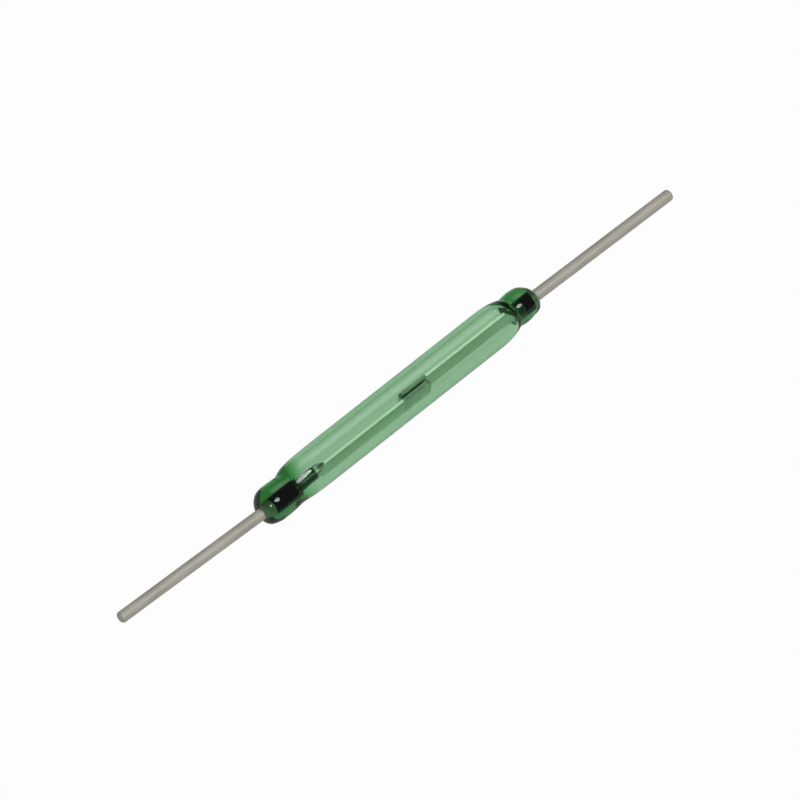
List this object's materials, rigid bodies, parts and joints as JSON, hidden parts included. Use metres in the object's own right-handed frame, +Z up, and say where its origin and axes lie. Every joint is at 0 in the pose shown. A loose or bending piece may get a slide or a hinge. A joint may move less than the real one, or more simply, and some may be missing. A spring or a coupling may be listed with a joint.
{
  "type": "glass reed switch",
  "caption": "Normally open reed switch: green glass capsule sealed round flat nickel-iron reeds that bend together in a magnetic field, with a straight wire lead at each end.",
  "frame": {"origin": "middle of the glass capsule, on the tube's axis", "axes": "+X along the tube to the right lead, +Z up as it lies; the blades stand on edge with their broad faces along Y, and the left blade is in front, on the -Y side"},
  "size_m": [0.0398, 0.0022, 0.0024],
  "materials": {
    "green_glass": "fire-polished green glass",
    "tinned_wire": "dull tinned wire",
    "nickel_iron": "pressed nickel-iron",
    "contact_plating": "dark platinum-group plating"
  },
  "bodies": {
    "capsule": {"glass_capsule": "green_glass", "left_lead": "tinned_wire", "right_lead": "tinned_wire"},
    "left_reed": {"left_blade": "nickel_iron", "left_contact": "contact_plating"},
    "right_reed": {"right_blade": "nickel_iron", "right_contact": "contact_plating"}
  },
  "joints": [
    {"name": "left_blade_flex", "type": "hinge", "parent": "capsule", "child": "left_reed", "pos_m": [-0.0057, -0.0004, 0], "axis": [0, 0, 1], "range_deg": [0, 0.405], "stiffness_Nm_per_rad": 0.000012},
    {"name": "right_blade_flex", "type": "hinge", "parent": "capsule", "child": "right_reed", "pos_m": [0.00785, -0.00006, 0], "axis": [0, 0, 1], "range_deg": [0, 0.405], "stiffness_Nm_per_rad": 0.000012}
  ],
  "couplings": [
    {"joint": "right_blade_flex", "follows": "left_blade_flex", "ratio": 1}
  ]
}
